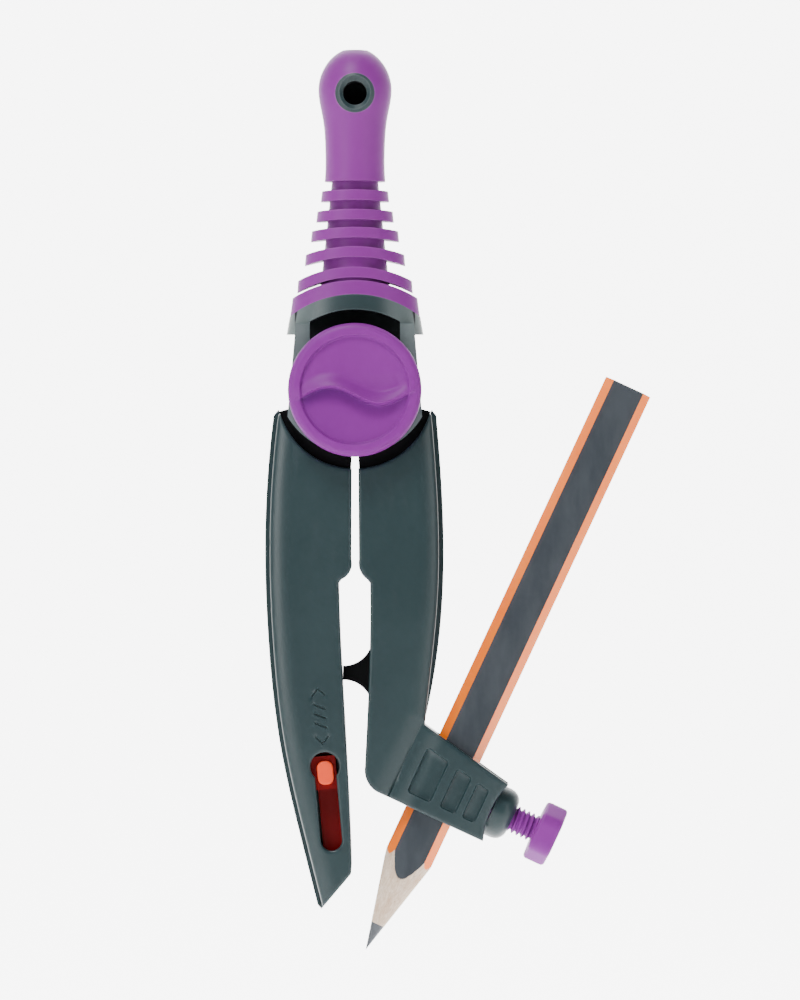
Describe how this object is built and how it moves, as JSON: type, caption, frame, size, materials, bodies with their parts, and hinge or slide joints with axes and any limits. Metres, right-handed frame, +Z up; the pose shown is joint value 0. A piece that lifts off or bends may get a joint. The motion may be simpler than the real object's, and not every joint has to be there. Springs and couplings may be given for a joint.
{
  "type": "drawing compass",
  "caption": "School drawing compass: ribbed handle, locking hinge that keeps the handle centred, sliding needle, and a screw clamp holding a pencil.",
  "frame": {"origin": "on the handle's axis at the held middle of the handle, 37 mm above the hinge axis", "axes": "+Z up the handle, -Y towards the front with the lock knob, +X towards the pencil"},
  "size_m": [0.0557, 0.0162, 0.13],
  "materials": {
    "grip_plastic": "soft purple, satin",
    "knob_plastic": "purple, satin",
    "shell_plastic": "dark grey-green, satin",
    "frame_plastic": "black",
    "guide_plastic": "dark red",
    "button_plastic": "orange red",
    "steel": "bright steel",
    "brass": "turned brass",
    "pencil_wood": "dark grey and orange paint over bare cedar",
    "graphite": "graphite"
  },
  "bodies": {
    "head": {"yoke": "shell_plastic", "grip_sleeve": "grip_plastic", "hinge_bolt": "steel", "thrust_washers": "steel", "spring_washer": "steel"},
    "centring_pin": {"centring_pin": "steel"},
    "lock_knob": {"lock_knob": "knob_plastic", "knob_nut": "brass"},
    "right_leg": {"right_frame": "frame_plastic", "right_front_shell": "shell_plastic", "right_back_shell": "shell_plastic", "right_shell_screws": "steel", "clamp_boss": "shell_plastic"},
    "left_leg": {"left_frame": "frame_plastic", "left_front_shell": "shell_plastic", "left_back_shell": "shell_plastic", "left_shell_screws": "steel", "needle_guide": "guide_plastic"},
    "needle_slide": {"needle_carrier": "guide_plastic", "slide_button": "button_plastic", "needle": "steel"},
    "clamp_jaw": {"clamp_jaw": "frame_plastic"},
    "clamp_screw": {"clamp_screw": "knob_plastic"},
    "pencil": {"pencil_casing": "pencil_wood", "pencil_lead": "graphite"}
  },
  "joints": [
    {"name": "right_leg_swing", "type": "hinge", "parent": "head", "child": "right_leg", "pos_m": [0, 0, -0.037], "axis": [0, -1, 0], "range_deg": [0, 45]},
    {"name": "left_leg_swing", "type": "hinge", "parent": "head", "child": "left_leg", "pos_m": [0, 0, -0.037], "axis": [0, 1, 0], "range_deg": [0, 45]},
    {"name": "centring_pin_rise", "type": "slide", "parent": "head", "child": "centring_pin", "axis": [0, 0, 1], "range_m": [0, 0.00236]},
    {"name": "lock_knob_turn", "type": "hinge", "parent": "head", "child": "lock_knob", "pos_m": [0, 0, -0.037], "axis": [0, -1, 0], "range_deg": [0, 180]},
    {"name": "needle_travel", "type": "slide", "parent": "left_leg", "child": "needle_slide", "axis": [0.0906, 0, -0.9959], "range_m": [0, 0.0092]},
    {"name": "clamp_jaw_travel", "type": "slide", "parent": "right_leg", "child": "clamp_jaw", "axis": [0.9063, 0, -0.4226], "range_m": [0, 0.00278]},
    {"name": "clamp_screw_turn", "type": "hinge", "parent": "clamp_jaw", "child": "clamp_screw", "pos_m": [0.0126, 0, -0.0941], "axis": [0.9063, 0, -0.4226], "range_deg": [0, 1333]},
    {"name": "pencil_slide", "type": "slide", "parent": "right_leg", "child": "pencil", "axis": [-0.4226, 0, -0.9063], "range_m": [-0.007, 0.02]}
  ],
  "couplings": [
    {"joint": "left_leg_swing", "follows": "right_leg_swing", "ratio": 1},
    {"joint": "centring_pin_rise", "follows": "right_leg_swing", "m_per_rad": 0.003},
    {"joint": "clamp_screw_turn", "follows": "clamp_jaw_travel", "rad_per_m": 8377.6}
  ]
}
